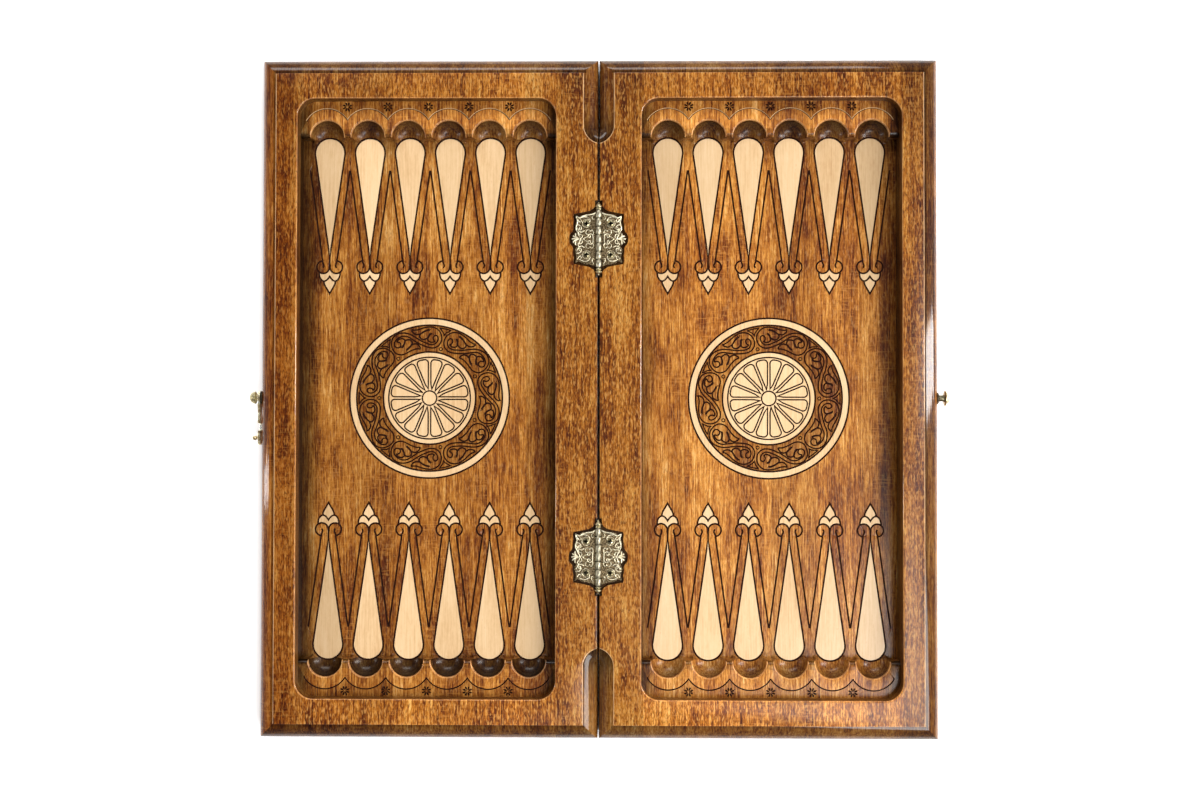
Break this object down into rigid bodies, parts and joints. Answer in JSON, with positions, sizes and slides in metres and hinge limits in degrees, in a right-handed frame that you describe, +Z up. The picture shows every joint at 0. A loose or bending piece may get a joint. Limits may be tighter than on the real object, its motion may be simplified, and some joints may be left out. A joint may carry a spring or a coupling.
{
  "type": "backgammon board",
  "caption": "Carved wooden folding backgammon board, open: two recessed halves with light inlaid points and medallions, ornate butt hinges on the playing side, hook latch on the outer sides",
  "frame": {"origin": "centre of the base of the open board", "axes": "+X across both halves from the hook side to the catch side, +Y along the hinge line toward the far end, +Z up out of the playing side"},
  "size_m": [0.625, 0.602, 0.0387],
  "materials": {
    "stained_beech": "lacquered",
    "light_beech": "lacquered",
    "antique_brass": "antiqued",
    "bright_brass": "polished",
    "dark_brass": "darkened"
  },
  "bodies": {
    "left_half": {"left_tray": "stained_beech", "left_far_points": "light_beech", "left_near_points": "light_beech", "left_far_finials": "light_beech", "left_near_finials": "light_beech", "left_ring": "light_beech", "left_rosette": "light_beech", "far_left_leaf": "antique_brass", "near_left_leaf": "antique_brass", "far_hinge_pin": "bright_brass", "near_hinge_pin": "bright_brass", "far_pin_cap": "bright_brass", "near_pin_cap": "bright_brass", "far_left_screws": "bright_brass", "near_left_screws": "bright_brass", "hook_screw": "bright_brass", "hook_washer": "dark_brass"},
    "right_half": {"right_tray": "stained_beech", "right_far_points": "light_beech", "right_near_points": "light_beech", "right_far_finials": "light_beech", "right_near_finials": "light_beech", "right_ring": "light_beech", "right_rosette": "light_beech", "far_right_leaf": "antique_brass", "near_right_leaf": "antique_brass", "far_right_screws": "bright_brass", "near_right_screws": "bright_brass", "catch_pin": "bright_brass", "catch_washer": "dark_brass"},
    "hook": {"latch_hook": "bright_brass"}
  },
  "joints": [
    {"name": "board_fold", "type": "hinge", "parent": "left_half", "child": "right_half", "pos_m": [0, 0, 0.03615], "axis": [0, -1, 0], "range_deg": [0, 180]},
    {"name": "hook_swing", "type": "hinge", "parent": "left_half", "child": "hook", "pos_m": [-0.3035, 0, 0.023], "axis": [-1, 0, 0], "range_deg": [-20, 90]}
  ]
}
